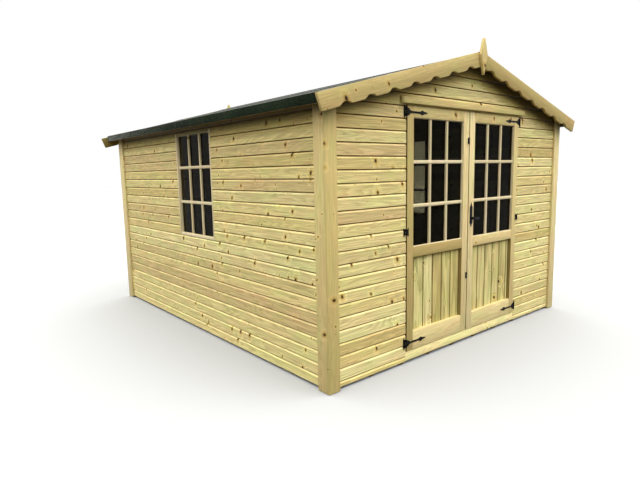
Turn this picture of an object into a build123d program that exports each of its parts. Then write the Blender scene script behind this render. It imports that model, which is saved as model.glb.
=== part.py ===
from build123d import *
import os
from math import cos, radians, sin, tan

# Garden summerhouse of pressure-treated pine, ten feet wide and twelve feet deep.
# Millimetres. X runs along the front from left to right, Y runs to the back, Z is up.
# The origin is on the ground, in the middle of the plan. The doors face -Y.

# Overall plan, over the corner boards
width = 3050
depth = 3660

# Corner boards and cladding
corner_board_thickness = 18
corner_board_width = 95
corner_board_bottom = 4
cladding_thickness = 16
cladding_bottom = 22

# Floor
joist_height = 45
joist_width = 38
joist_edge_inset = 59
joist_count = 10
floor_thickness = 16

# Wall framing
stud_face = 31
stud_depth = 50
side_stud_positions = (-1100, 1100)
front_stud_position = 1110
back_stud_position = 745

# Roof
pitch = 15
ridge_top = 2306
felt_thickness = 3
roof_board_thickness = 18
eaves_overhang = 92
verge_overhang = 65
eaves_board_thickness = 45
eaves_board_depth = 54
felt_apron_depth = 61
ridge_felt_reach = 150
ridge_beam_width = 38
ridge_beam_depth = 95
purlin_width = 50
purlin_depth = 60
purlin_position = 760
rafter_depth = 50
verge_batten_width = 38
verge_batten_depth = 38
ridge_joint = 1

# Bargeboards, fretted along the lower edge
bargeboard_thickness = 20
bargeboard_depth = 109
bargeboard_overhang = 115
back_bargeboard_overhang = 150
bargeboard_stand = 10
bargeboard_end_cut = 12
scallop_period = 220.5
scallop_rise = 22
scallop_slope_run = 66
scallop_fall_run = 56
scallop_count = 7
scallop_start = 127

# Finials
finial_height = 268
finial_width = 90
finial_thickness = 20
finial_top_above_apex = 91
back_finial_top_above_apex = 45
finial_shoulder_drop = 120
finial_point_width = 14
finial_foot_width = 5

# Doorway and the two leaves
doorway_half_width = 760
sill_bottom = 25
door_gap = 5
meeting_gap = 8
leaf_thickness = 44
leaf_proud = 6
hanging_stile_width = 70
meeting_stile_width = 74
top_rail_height = 80
middle_rail_bottom = 797
middle_rail_height = 77
bottom_rail_height = 140
panel_thickness = 16
panel_recess = 27
panel_board_cover = 114.5
panel_groove_width = 6
panel_groove_depth = 4
glass_thickness = 4
door_glass_recess = 21

# Weather board over the doors
head_board_gap = 6
head_board_height = 49
head_board_proud = 30
head_board_half_length = 825
head_board_fall = 8
head_board_end_cut = 12

# Windows, one in each side wall, each at its own place along the wall
left_window_y = -17
right_window_y = 75
window_width = 670
window_height = 930
window_head_clearance = 23
window_lining = 20
window_lining_depth = 60
window_glass_recess = 27

# Hinges: long pointed straps above and below, a butterfly hinge between them
plate_thickness = 4
knuckle_radius = 6
knuckle_clearance = 0.5
pin_offset = 4
plate_from_pin = 8
strap_knuckle_height = 60
strap_length = 233
strap_root_height = 50
strap_root_run = 24
strap_neck_run = 50
strap_bar_height = 14
strap_spear_height = 32
strap_spear_length = 88
strap_spear_lobe_run = 57
strap_spear_neck_run = 27
strap_arc_depth = 3
flap_width = 17
flap_height = 93
flap_point_rise = 16
flap_arc_depth = 1.5
lower_hinge_height = 160
upper_hinge_below_top = 44
middle_hinge_height = 988
butterfly_waist = 36
butterfly_height = 62
butterfly_reach = 24

# Lock, lever and catches
lock_width = 36
lock_body_height = 127
lock_foot_point = 33
lock_head_point = 40
lock_point_hollow = 3
lock_thickness = 5
lock_bottom = 960
lock_from_meeting_edge = 19
lever_height = 1030
lever_rose_radius = 15
lever_neck_radius = 7
lever_end_radius = 10
lever_reach = 62
lever_stand = 36
lever_thickness = 10
lever_depth = 18
lever_clearance = 0.3
catch_width = 18
catch_height = 48
catch_thickness = 8
catch_heights = (565, 1650)
catch_from_meeting_edge = 1

# Sizes worked out from the ones above
slope = tan(radians(pitch))
half_width = width / 2
half_depth = depth / 2
cladding_x = half_width - corner_board_thickness
cladding_y = half_depth - corner_board_thickness
frame_x = cladding_x - cladding_thickness
frame_y = cladding_y - cladding_thickness
inner_x = frame_x - stud_depth
inner_y = frame_y - stud_depth
floor_top = joist_height + floor_thickness
plate_top = floor_top + stud_face
felt_drop = felt_thickness / cos(radians(pitch))
board_drop = roof_board_thickness / cos(radians(pitch))
rafter_drop = rafter_depth / cos(radians(pitch))
eaves_x = half_width + eaves_overhang
eaves_inner_x = eaves_x - eaves_board_thickness
eaves_top = ridge_top - slope * eaves_inner_x
verge_y = half_depth + verge_overhang
roof_under_ridge = ridge_top - felt_drop - board_drop


def roof_underside(x):
    """Height of the underside of the roof boards at a distance from the middle."""
    return roof_under_ridge - slope * abs(x)


def rafter_underside(x):
    return roof_underside(x) - rafter_drop


head_height = roof_underside(cladding_x)
side_plate_bottom = roof_underside(frame_x) - stud_face
ridge_beam_bottom = roof_underside(ridge_beam_width / 2) - ridge_beam_depth
leaf_front = -(cladding_y + leaf_proud)
leaf_back = leaf_front + leaf_thickness
leaf_bottom = plate_top + door_gap
leaf_top = head_height - door_gap
leaf_outer = doorway_half_width - door_gap
leaf_inner = meeting_gap / 2
rail_outer = leaf_outer - hanging_stile_width
rail_inner = leaf_inner + meeting_stile_width
pin_x = doorway_half_width + pin_offset
pin_y = leaf_front - plate_thickness
wall_plate_x = pin_x + plate_from_pin
lock_x = leaf_inner + lock_from_meeting_edge + lock_width / 2
window_top = side_plate_bottom - stud_face - window_head_clearance
window_bottom = window_top - window_height
bargeboard_front = verge_y + bargeboard_thickness
bargeboard_apex = ridge_top + bargeboard_stand


def block(x0, x1, y0, y1, z0, z1):
    """A plain rectangular piece between two corners."""
    size = (abs(x1 - x0), abs(y1 - y0), abs(z1 - z0))
    centre = ((x0 + x1) / 2, (y0 + y1) / 2, (z0 + z1) / 2)
    return Pos(*centre) * Box(*size)


def end_prism(points, y0, y1):
    """A piece with one outline seen from the front, between two depths."""
    face = make_face(Polyline(*points, close=True))
    return extrude(Plane.XZ.offset(-max(y0, y1)) * face, abs(y1 - y0))


def mirrored_face(half):
    """The face between the upper half of an outline, from axis to axis, and its reflection."""
    return make_face(half + [mirror(edge, about=Plane.XZ) for edge in half])


def left(pieces):
    """The mirror images of the pieces on the left-hand side."""
    return [piece.mirror(Plane.YZ) for piece in pieces]


def both_sides(pieces):
    """The pieces and their mirror images on the other side of the middle."""
    return list(pieces) + left(pieces)


def both_ends(pieces):
    """The pieces and their mirror images at the other end of the house."""
    return list(pieces) + [piece.mirror(Plane.XZ) for piece in pieces]


def window_sides(make):
    """What belongs to the two windows, made for the right and mirrored for the left."""
    return make(right_window_y) + left(make(left_window_y))


def save(name, pieces):
    solids = []
    for piece in pieces:
        solids.extend(piece.solids())
    export_step(Compound(solids), f"parts/{name}.step")


def rafter_post(x0, x1, y0, y1, bottom):
    """An upright whose top is cut to the slope of the rafter above it."""
    points = [(x0, bottom), (x1, bottom), (x1, rafter_underside(x1)), (x0, rafter_underside(x0))]
    return end_prism(points, y0, y1)


# Floor

def floor_joists():
    """Evenly spaced joists, the outer two set in a little from the edges of the floor."""
    first = joist_edge_inset - frame_x
    last = -first - joist_width
    pieces = []
    for number in range(joist_count):
        x = first + (last - first) * number / (joist_count - 1)
        pieces.append(block(x, x + joist_width, -frame_y, frame_y, 0, joist_height))
    return pieces


def floor_boards():
    return [block(-frame_x, frame_x, -frame_y, frame_y, joist_height, floor_top)]


# Cladding

def front_wall_side():
    """The clad wall to the right of the doorway."""
    return block(doorway_half_width, cladding_x, -cladding_y, -frame_y, cladding_bottom, head_height)


def front_gable():
    points = [(-cladding_x, head_height), (cladding_x, head_height), (0, roof_underside(0))]
    return [end_prism(points, -cladding_y, -frame_y)]


def back_wall():
    points = [
        (-cladding_x, cladding_bottom),
        (cladding_x, cladding_bottom),
        (cladding_x, head_height),
        (0, roof_underside(0)),
        (-cladding_x, head_height),
    ]
    return [end_prism(points, frame_y, cladding_y)]


def side_wall(window_y):
    """The clad wall on the right, cut to the slope at the top and open at its window."""
    points = [
        (frame_x, cladding_bottom),
        (cladding_x, cladding_bottom),
        (cladding_x, roof_underside(cladding_x)),
        (frame_x, roof_underside(frame_x)),
    ]
    opening = block(
        frame_x, cladding_x,
        window_y - window_width / 2, window_y + window_width / 2,
        window_bottom, window_top,
    )
    return end_prism(points, -frame_y, frame_y) - opening


# Framing

def end_wall_rails():
    """Bottom plates of both end walls, and the head over the doorway."""
    plates = both_ends([block(-frame_x, frame_x, -frame_y, -inner_y, floor_top, plate_top)])
    head_top = head_height + stud_face
    reach = (rafter_underside(0) - head_top) / slope
    head = block(-reach, reach, -frame_y, -inner_y, head_height, head_top)
    return plates + [head]


def end_wall_studs():
    corners = both_ends([rafter_post(inner_x, frame_x, -frame_y, -inner_y, plate_top)])
    door_post = block(
        doorway_half_width, doorway_half_width + stud_face, -frame_y, -inner_y, plate_top, head_height
    )
    front_stud = block(
        front_stud_position, front_stud_position + stud_face, -frame_y, -inner_y, plate_top, head_height
    )
    back_stud = rafter_post(
        back_stud_position - stud_face / 2, back_stud_position + stud_face / 2, inner_y, frame_y, plate_top
    )
    front_king = block(
        -stud_face / 2, stud_face / 2, -frame_y, -inner_y, head_height + stud_face, ridge_beam_bottom
    )
    back_king = block(-stud_face / 2, stud_face / 2, inner_y, frame_y, plate_top, ridge_beam_bottom)
    return both_sides(corners + [door_post, front_stud, back_stud]) + [front_king, back_king]


def window_trimmers(window_y):
    """The short rails under and over a window opening."""
    y0 = window_y - window_width / 2
    y1 = window_y + window_width / 2
    under = block(inner_x, frame_x, y0, y1, window_bottom - stud_face, window_bottom)
    over = block(inner_x, frame_x, y0, y1, window_top, window_top + stud_face)
    return [under, over]


def window_studs(window_y):
    starts = (window_y - window_width / 2 - stud_face, window_y + window_width / 2)
    return [block(inner_x, frame_x, y, y + stud_face, plate_top, side_plate_bottom) for y in starts]


def side_wall_rails():
    """Plates along the foot and the top of the side walls, and the rails round the windows."""
    bottom = block(inner_x, frame_x, -inner_y, inner_y, floor_top, plate_top)
    points = [
        (inner_x, side_plate_bottom),
        (frame_x, side_plate_bottom),
        (frame_x, roof_underside(frame_x)),
        (inner_x, roof_underside(inner_x)),
    ]
    top = end_prism(points, -inner_y, inner_y)
    return both_sides([bottom, top]) + window_sides(window_trimmers)


def side_wall_studs():
    starts = (-inner_y, side_stud_positions[0], side_stud_positions[1], inner_y - stud_face)
    studs = [block(inner_x, frame_x, y, y + stud_face, plate_top, side_plate_bottom) for y in starts]
    return both_sides(studs) + window_sides(window_studs)


def gable_rafters():
    inside = ridge_beam_width / 2
    points = [
        (inside, rafter_underside(inside)),
        (frame_x, rafter_underside(frame_x)),
        (frame_x, roof_underside(frame_x)),
        (inside, roof_underside(inside)),
    ]
    return both_sides(both_ends([end_prism(points, -frame_y, -inner_y)]))


# Corner boards

def end_corner_boards():
    inside = half_width - corner_board_width
    points = [
        (inside, corner_board_bottom),
        (half_width, corner_board_bottom),
        (half_width, roof_underside(half_width)),
        (inside, roof_underside(inside)),
    ]
    return both_sides(both_ends([end_prism(points, -half_depth, -cladding_y)]))


def side_corner_boards():
    points = [
        (cladding_x, corner_board_bottom),
        (half_width, corner_board_bottom),
        (half_width, roof_underside(half_width)),
        (cladding_x, roof_underside(cladding_x)),
    ]
    return both_sides(both_ends([end_prism(points, -cladding_y, corner_board_width - cladding_y)]))


# Roof

def roof_layer(top, drop):
    """One half of a sloping layer, from just beside the ridge to the level top of the eaves."""
    points = [
        (ridge_joint, top - slope * ridge_joint),
        (eaves_inner_x, top - slope * eaves_inner_x),
        (eaves_inner_x, top - drop - slope * eaves_inner_x),
        (ridge_joint, top - drop - slope * ridge_joint),
    ]
    return end_prism(points, -verge_y, verge_y)


def roof_boards():
    return both_sides([roof_layer(ridge_top - felt_drop, board_drop)])


def roof_felt():
    return both_sides([roof_layer(ridge_top, felt_drop)])


def eaves_felt():
    """The felt laid over the level top of the eaves board and turned down over its face."""
    outer = eaves_x + felt_thickness
    points = [
        (eaves_inner_x, eaves_top),
        (outer, eaves_top),
        (outer, eaves_top - felt_apron_depth),
        (eaves_x, eaves_top - felt_apron_depth),
        (eaves_x, eaves_top - felt_drop),
        (eaves_inner_x, eaves_top - felt_drop),
    ]
    return both_sides([end_prism(points, -verge_y, verge_y)])


def ridge_felt():
    """The strip of felt folded over the ridge."""
    low = ridge_top - slope * ridge_felt_reach
    points = [
        (-ridge_felt_reach, low),
        (0, ridge_top),
        (ridge_felt_reach, low),
        (ridge_felt_reach, low + felt_drop),
        (0, ridge_top + felt_drop),
        (-ridge_felt_reach, low + felt_drop),
    ]
    return [end_prism(points, -verge_y, verge_y)]


def eaves_boards():
    """A square batten along the edge of the roof boards, which the felt is turned down over."""
    top = eaves_top - felt_drop
    return both_sides([block(eaves_inner_x, eaves_x, -verge_y, verge_y, top - eaves_board_depth, top)])


def roof_beams():
    """The ridge beam, with its top cut to both slopes, and one purlin under each slope."""
    half = ridge_beam_width / 2
    ridge_points = [
        (-half, ridge_beam_bottom),
        (half, ridge_beam_bottom),
        (half, roof_underside(half)),
        (0, roof_underside(0)),
        (-half, roof_underside(half)),
    ]
    ridge = end_prism(ridge_points, -frame_y, frame_y)
    x0 = purlin_position - purlin_width / 2
    x1 = purlin_position + purlin_width / 2
    bottom = roof_underside(x1) - purlin_depth
    purlin_points = [(x0, bottom), (x1, bottom), (x1, roof_underside(x1)), (x0, roof_underside(x0))]
    return [ridge] + both_sides([end_prism(purlin_points, -inner_y, inner_y)])


def verge_battens():
    """Battens under the roof edge that carry the bargeboards."""
    drop = verge_batten_depth / cos(radians(pitch))
    points = [
        (ridge_joint, roof_underside(ridge_joint) - drop),
        (eaves_inner_x, roof_underside(eaves_inner_x) - drop),
        (eaves_inner_x, roof_underside(eaves_inner_x)),
        (ridge_joint, roof_underside(ridge_joint)),
    ]
    return both_sides(both_ends([end_prism(points, -verge_y, verge_batten_width - verge_y)]))


def bargeboard_outline(overhang):
    """One bargeboard, drawn level with its apex at the origin, then turned to the pitch."""
    length = (half_width + overhang) / cos(radians(pitch))
    deep = -bargeboard_depth
    high = deep + scallop_rise
    tip = Vector(length + bargeboard_end_cut, 0)
    corner = Vector(length, deep)
    edges = [Line((0, 0), tip), Line(tip, corner)]
    for number in range(scallop_count):
        start = Vector(length - scallop_start - number * scallop_period, deep)
        middle = Vector(start.X - scallop_slope_run / 2, (deep + high) / 2)
        arch = Vector(start.X - scallop_slope_run, high)
        cusp = Vector(arch.X - scallop_fall_run, deep)
        lower = TangentArc(start, middle, tangent=(-1, 0))
        upper = TangentArc(middle, arch, tangent=lower % 1)
        fall = TangentArc(arch, cusp, tangent=(-1, 0))
        edges.extend([Line(corner, start), lower, upper, fall])
        corner = cusp
    foot = Vector(bargeboard_depth * slope, deep)
    edges.append(Line(corner, foot))
    edges.append(Line(foot, (0, 0)))
    return Rot(0, 0, -pitch) * make_face(edges)


def bargeboards_right():
    """The front board stands a little above the roof. The back one is flush with it and longer."""
    front = Pos(0, bargeboard_apex, 0) * bargeboard_outline(bargeboard_overhang)
    back = Pos(0, ridge_top, 0) * bargeboard_outline(back_bargeboard_overhang)
    return [
        extrude(Plane.XZ.offset(verge_y) * front, bargeboard_thickness),
        extrude(Plane.XZ.offset(-verge_y) * back, -bargeboard_thickness),
    ]


def finial(top, y0, y1):
    """A board tapered to a blunt point at the top and a fine one at the foot."""
    half = finial_width / 2
    blunt = finial_point_width / 2
    fine = finial_foot_width / 2
    shoulder = top - finial_shoulder_drop
    bottom = top - finial_height
    right_edge = [(blunt, top), (half, shoulder), (fine, bottom)]
    left_edge = [(-x, z) for x, z in reversed(right_edge)]
    return end_prism(right_edge + left_edge, y0, y1)


def finials():
    face = bargeboard_front + finial_thickness
    front = finial(bargeboard_apex + finial_top_above_apex, -face, -bargeboard_front)
    back = finial(ridge_top + back_finial_top_above_apex, bargeboard_front, face)
    return [front, back]


# Windows

def window_jamb_pair(window_y):
    x0 = cladding_x - window_lining_depth
    y0 = window_y - window_width / 2
    y1 = window_y + window_width / 2
    near = block(x0, cladding_x, y0, y0 + window_lining, window_bottom, window_top)
    far = block(x0, cladding_x, y1 - window_lining, y1, window_bottom, window_top)
    return [near, far]


def window_rail_pair(window_y):
    x0 = cladding_x - window_lining_depth
    reach = window_width / 2 - window_lining
    sill = block(
        x0, cladding_x, window_y - reach, window_y + reach, window_bottom, window_bottom + window_lining
    )
    head = block(x0, cladding_x, window_y - reach, window_y + reach, window_top - window_lining, window_top)
    return [sill, head]


def window_pane(window_y):
    x1 = cladding_x - window_glass_recess
    reach = window_width / 2 - window_lining
    z0 = window_bottom + window_lining
    z1 = window_top - window_lining
    return [block(x1 - glass_thickness, x1, window_y - reach, window_y + reach, z0, z1)]


# Doorway

def door_sill():
    return [block(-doorway_half_width, doorway_half_width, -cladding_y, -frame_y, sill_bottom, plate_top)]


def door_head_board():
    """A weather board over the doors, with its top sloping outwards and its ends cut back."""
    bottom = head_height + head_board_gap
    top = bottom + head_board_height
    front = -cladding_y - head_board_proud
    points = [
        (-cladding_y, bottom),
        (-cladding_y, top),
        (front, top - head_board_fall),
        (front, bottom),
    ]
    face = make_face(Polyline(*points, close=True))
    board = extrude(Plane.YZ.offset(-head_board_half_length) * face, 2 * head_board_half_length)
    front_corners = board.edges().filter_by(Axis.Z).group_by(Axis.Y)[0]
    return [chamfer(front_corners, head_board_end_cut)]


# Door leaves, made for the right-hand leaf and mirrored for the left

def leaf_stiles():
    outer = block(rail_outer, leaf_outer, leaf_front, leaf_back, leaf_bottom, leaf_top)
    inner = block(leaf_inner, rail_inner, leaf_front, leaf_back, leaf_bottom, leaf_top)
    return [outer, inner]


def leaf_rails():
    levels = [
        (leaf_bottom, leaf_bottom + bottom_rail_height),
        (middle_rail_bottom, middle_rail_bottom + middle_rail_height),
        (leaf_top - top_rail_height, leaf_top),
    ]
    return [block(rail_inner, rail_outer, leaf_front, leaf_back, z0, z1) for z0, z1 in levels]


def leaf_panel():
    """Upright boards with a V groove at each joint."""
    y0 = leaf_front + panel_recess
    z0 = leaf_bottom + bottom_rail_height
    panel = block(rail_inner, rail_outer, y0, y0 + panel_thickness, z0, middle_rail_bottom)
    half = panel_groove_width / 2
    joint = rail_inner + panel_board_cover
    while joint < rail_outer - half:
        points = [(joint - half, y0), (joint + half, y0), (joint, y0 + panel_groove_depth)]
        groove = make_face(Polyline(*points, close=True))
        panel -= extrude(Plane.XY.offset(z0) * groove, middle_rail_bottom - z0)
        joint += panel_board_cover
    return [panel]


def leaf_glass():
    y0 = leaf_front + door_glass_recess
    z0 = middle_rail_bottom + middle_rail_height
    z1 = leaf_top - top_rail_height
    return [block(rail_inner, rail_outer, y0, y0 + glass_thickness, z0, z1)]


# Hinges

def strap_heights():
    """Middle heights of the lower and the upper strap hinge."""
    return [lower_hinge_height, leaf_top - upper_hinge_below_top]


def strap_outline():
    """Upper half of a strap, from the pin: a lobed root, a plain bar and a spear."""
    knuckle_half = strap_knuckle_height / 6 - knuckle_clearance
    bar = strap_bar_height / 2
    root = (plate_from_pin, knuckle_half)
    root_lobe = (strap_root_run, strap_root_height / 2)
    root_neck = (strap_neck_run, bar)
    spear = (strap_length - strap_spear_length, bar)
    spear_lobe = (strap_length - strap_spear_lobe_run, strap_spear_height / 2)
    spear_neck = (strap_length - strap_spear_neck_run, bar)
    return [
        Line((0, 0), (0, knuckle_half)),
        Line((0, knuckle_half), root),
        SagittaArc(root, root_lobe, strap_arc_depth),
        SagittaArc(root_lobe, root_neck, -strap_arc_depth),
        Line(root_neck, spear),
        SagittaArc(spear, spear_lobe, strap_arc_depth),
        SagittaArc(spear_lobe, spear_neck, -strap_arc_depth),
        Line(spear_neck, (strap_length, 0)),
    ]


def flap_outline():
    """Upper half of a strap hinge's plate on the wall, with a hollow-sided point."""
    straight = flap_height / 2 - flap_point_rise
    point = (flap_width / 2, flap_height / 2)
    return [
        Line((0, 0), (0, straight)),
        SagittaArc((0, straight), point, -flap_arc_depth),
        SagittaArc(point, (flap_width, straight), -flap_arc_depth),
        Line((flap_width, straight), (flap_width, 0)),
    ]


def butterfly_leaf_outline():
    """Upper half of the wing on the leaf, from the pin."""
    knuckle_half = butterfly_waist / 6 - knuckle_clearance
    return [
        Line((0, 0), (0, knuckle_half)),
        Line((0, knuckle_half), (plate_from_pin, knuckle_half)),
        Line((plate_from_pin, knuckle_half), (plate_from_pin, butterfly_waist / 2)),
        Line((plate_from_pin, butterfly_waist / 2), (butterfly_reach, butterfly_height / 2)),
        Line((butterfly_reach, butterfly_height / 2), (butterfly_reach, 0)),
    ]


def butterfly_wall_outline():
    """Upper half of the wing on the wall."""
    reach = butterfly_reach - plate_from_pin
    return [
        Line((0, 0), (0, butterfly_waist / 2)),
        Line((0, butterfly_waist / 2), (reach, butterfly_height / 2)),
        Line((reach, butterfly_height / 2), (reach, 0)),
    ]


def knuckle(middle, height):
    return Pos(pin_x, pin_y, middle) * Cylinder(knuckle_radius, height)


def leaf_plate(outline, middle, knuckles_height):
    """A hinge half that turns with the leaf, with the middle one of three knuckles."""
    plane = Plane(origin=(pin_x, pin_y, middle), x_dir=(-1, 0, 0), z_dir=(0, 1, 0))
    plate = extrude(plane * mirrored_face(outline), plate_thickness)
    return plate + knuckle(middle, knuckles_height / 3 - 2 * knuckle_clearance)


def wall_plate(outline, middle, knuckles_height):
    """A hinge half fixed to the wall, with the outer two knuckles on short webs."""
    plane = Plane(origin=(wall_plate_x, -cladding_y, middle), x_dir=(1, 0, 0), z_dir=(0, -1, 0))
    plate = extrude(plane * mirrored_face(outline), plate_thickness)
    third = knuckles_height / 3
    for centre in (middle - third, middle + third):
        web = block(pin_x, wall_plate_x, pin_y, -cladding_y, centre - third / 2, centre + third / 2)
        plate = plate + web + knuckle(centre, third)
    return plate


def leaf_hinges():
    straps = [leaf_plate(strap_outline(), middle, strap_knuckle_height) for middle in strap_heights()]
    return straps + [leaf_plate(butterfly_leaf_outline(), middle_hinge_height, butterfly_waist)]


def hinge_plates():
    flaps = [wall_plate(flap_outline(), middle, strap_knuckle_height) for middle in strap_heights()]
    return both_sides(flaps + [wall_plate(butterfly_wall_outline(), middle_hinge_height, butterfly_waist)])


# Lock, lever and catches

def lock_plate():
    """The plate behind the lever, drawn out to a hollow-sided point above and below."""
    foot = (lock_foot_point, lock_width / 2)
    head = (lock_foot_point + lock_body_height, lock_width / 2)
    outline = [
        SagittaArc((0, 0), foot, -lock_point_hollow),
        Line(foot, head),
        SagittaArc(head, (head[0] + lock_head_point, 0), -lock_point_hollow),
    ]
    face = Pos(lock_x, lock_bottom, 0) * Rot(0, 0, 90) * mirrored_face(outline)
    return [extrude(Plane.XZ.offset(-leaf_front) * face, lock_thickness)]


def lock_lever():
    """The short lever, round at its tip, which turns about its spindle in front of the lock plate."""
    back = leaf_front - lock_thickness - lever_clearance
    front = back - lever_stand
    centre = Pos(lock_x, lever_height, 0)
    base = Plane.XZ.offset(-back)
    rose = extrude(base * (centre * Circle(lever_rose_radius)), lever_thickness)
    neck = extrude(base * (centre * Circle(lever_neck_radius)), lever_stand)
    half = lever_depth / 2
    tip_x = lock_x + lever_reach - half
    grip = Plane.XZ.offset(-front - lever_thickness)
    end = extrude(grip * (centre * Circle(lever_end_radius)), lever_thickness)
    tip = extrude(grip * (Pos(tip_x, lever_height, 0) * Circle(half)), lever_thickness)
    arm = block(lock_x, tip_x, front, front + lever_thickness, lever_height - half, lever_height + half)
    return [rose + neck + end + arm + tip]


def leaf_catches():
    """Two small catches on the meeting stile of the left leaf."""
    x1 = -leaf_inner - catch_from_meeting_edge
    x0 = x1 - catch_width
    y0 = leaf_front - catch_thickness
    half = catch_height / 2
    return [block(x0, x1, y0, leaf_front, middle - half, middle + half) for middle in catch_heights]


os.makedirs("parts", exist_ok=True)

save("floor_joists", floor_joists())
save("floor_boards", floor_boards())
save("front_wall_left", left([front_wall_side()]))
save("front_wall_right", [front_wall_side()])
save("front_gable", front_gable())
save("left_wall", left([side_wall(left_window_y)]))
save("right_wall", [side_wall(right_window_y)])
save("back_wall", back_wall())
save("end_wall_rails", end_wall_rails())
save("end_wall_studs", end_wall_studs())
save("side_wall_rails", side_wall_rails())
save("side_wall_studs", side_wall_studs())
save("gable_rafters", gable_rafters())
save("end_corner_boards", end_corner_boards())
save("side_corner_boards", side_corner_boards())
save("roof_boards", roof_boards())
save("roof_felt", roof_felt())
save("eaves_felt", eaves_felt())
save("ridge_felt", ridge_felt())
save("eaves_boards", eaves_boards())
save("roof_beams", roof_beams())
save("verge_battens", verge_battens())
save("bargeboards_left", left(bargeboards_right()))
save("bargeboards_right", bargeboards_right())
save("finials", finials())
save("window_jambs", window_sides(window_jamb_pair))
save("window_rails", window_sides(window_rail_pair))
save("window_glass", window_sides(window_pane))
save("door_sill", door_sill())
save("door_head_board", door_head_board())
save("hinge_plates", hinge_plates())
save("door_left_stiles", left(leaf_stiles()))
save("door_left_rails", left(leaf_rails()))
save("door_left_panel", left(leaf_panel()))
save("door_left_glass", left(leaf_glass()))
save("door_left_hinges", left(leaf_hinges()))
save("door_left_catches", leaf_catches())
save("door_right_stiles", leaf_stiles())
save("door_right_rails", leaf_rails())
save("door_right_panel", leaf_panel())
save("door_right_glass", leaf_glass())
save("door_right_hinges", leaf_hinges())
save("door_right_lock", lock_plate())
save("door_right_lever", lock_lever())
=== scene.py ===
# %% Load the frame
import math
import random
from contextlib import contextmanager

import bmesh
import bpy
from mathutils import Matrix, Vector


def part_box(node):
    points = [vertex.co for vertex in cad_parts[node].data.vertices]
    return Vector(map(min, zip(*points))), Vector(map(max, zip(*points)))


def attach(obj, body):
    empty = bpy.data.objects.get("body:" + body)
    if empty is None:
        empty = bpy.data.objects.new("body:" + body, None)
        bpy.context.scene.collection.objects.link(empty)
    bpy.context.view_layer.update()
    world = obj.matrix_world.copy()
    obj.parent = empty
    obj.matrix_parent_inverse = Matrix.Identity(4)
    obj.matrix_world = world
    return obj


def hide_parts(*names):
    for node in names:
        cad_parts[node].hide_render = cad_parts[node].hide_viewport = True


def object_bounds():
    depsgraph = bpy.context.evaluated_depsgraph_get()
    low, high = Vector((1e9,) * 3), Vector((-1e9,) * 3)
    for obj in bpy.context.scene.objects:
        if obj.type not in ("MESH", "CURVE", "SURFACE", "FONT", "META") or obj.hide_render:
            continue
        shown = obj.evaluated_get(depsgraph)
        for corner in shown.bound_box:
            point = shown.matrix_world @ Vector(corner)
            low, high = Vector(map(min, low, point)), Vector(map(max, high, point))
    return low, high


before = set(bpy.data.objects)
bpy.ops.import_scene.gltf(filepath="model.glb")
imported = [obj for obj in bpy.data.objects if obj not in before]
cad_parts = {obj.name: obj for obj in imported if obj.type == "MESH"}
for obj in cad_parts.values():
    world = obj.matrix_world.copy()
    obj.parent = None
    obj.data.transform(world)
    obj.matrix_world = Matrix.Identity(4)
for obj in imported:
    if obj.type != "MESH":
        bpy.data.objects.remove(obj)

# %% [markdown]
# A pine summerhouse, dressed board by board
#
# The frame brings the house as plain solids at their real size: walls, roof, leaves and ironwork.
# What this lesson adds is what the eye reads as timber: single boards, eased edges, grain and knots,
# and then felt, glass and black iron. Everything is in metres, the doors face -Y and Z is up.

cad_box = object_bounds()
chance = random.Random(41)
NEAR = 0.001
SIDES = (("left", -1), ("right", 1))


def only(*pieces):
    """Leave edit mode and select just these pieces, the first one active."""
    if bpy.context.object and bpy.context.object.mode != "OBJECT":
        bpy.ops.object.mode_set(mode="OBJECT")
    bpy.ops.object.select_all(action="DESELECT")
    for piece in pieces:
        piece.select_set(True)
    bpy.context.view_layer.objects.active = pieces[0]


@contextmanager
def editing(piece):
    """Edit mode on one piece, all of it selected to begin with."""
    only(piece)
    bpy.ops.object.mode_set(mode="EDIT")
    bpy.ops.mesh.select_all(action="SELECT")
    yield
    bpy.ops.object.mode_set(mode="OBJECT")


def settle(piece):
    """Put the place, turn and size of a piece into its mesh."""
    only(piece)
    bpy.ops.object.transform_apply(location=True, rotation=True, scale=True)


def made(name):
    """The piece that an operator has just added, named and settled."""
    piece = bpy.context.object
    piece.name = name
    settle(piece)
    return piece


def block(name, low, high):
    """A cube primitive between two corners, ready to be shaped."""
    low, high = Vector(low), Vector(high)
    bpy.ops.mesh.primitive_cube_add(size=1, location=(low + high) / 2, scale=high - low)
    return made(name)


def pick(kind, test):
    """In edit mode, select the vertices, edges or faces whose middle passes the test."""
    bpy.ops.mesh.select_mode(type=kind)
    bpy.ops.mesh.select_all(action="DESELECT")
    mesh = bmesh.from_edit_mesh(bpy.context.object.data)
    for part in {"VERT": mesh.verts, "EDGE": mesh.edges, "FACE": mesh.faces}[kind]:
        corners = [part] if kind == "VERT" else part.verts
        part.select_set(test(sum((corner.co for corner in corners), Vector()) / len(corners)))
    mesh.select_flush_mode()
    bmesh.update_edit_mesh(bpy.context.object.data)


def bevel_at(test, offset, segments=1, profile=0.5, kind="EDGE"):
    """In edit mode, bevel the edges, or the rims of the faces, whose middle passes the test."""
    pick(kind, test)
    bpy.ops.mesh.bevel(offset=offset, segments=segments, profile=profile, affect="EDGES")


def twin(piece, name, shift=(0, 0, 0), size=(1, 1, 1)):
    """A copy with a mesh of its own, scaled about the origin and then moved."""
    copy = bpy.data.objects.new(name, piece.data.copy())
    bpy.context.collection.objects.link(copy)
    copy.data.transform(Matrix.Translation(shift) @ Matrix.Diagonal((*size, 1)))
    return copy


def join(name, pieces):
    """Several pieces as one, under one name."""
    only(*pieces)
    if len(pieces) > 1:
        bpy.ops.object.join()
    joined = bpy.context.object
    joined.name = name
    return joined


low, high = cad_box
print("The frame is", [round(high[i] - low[i], 3) for i in range(3)], "metres over all")

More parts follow.
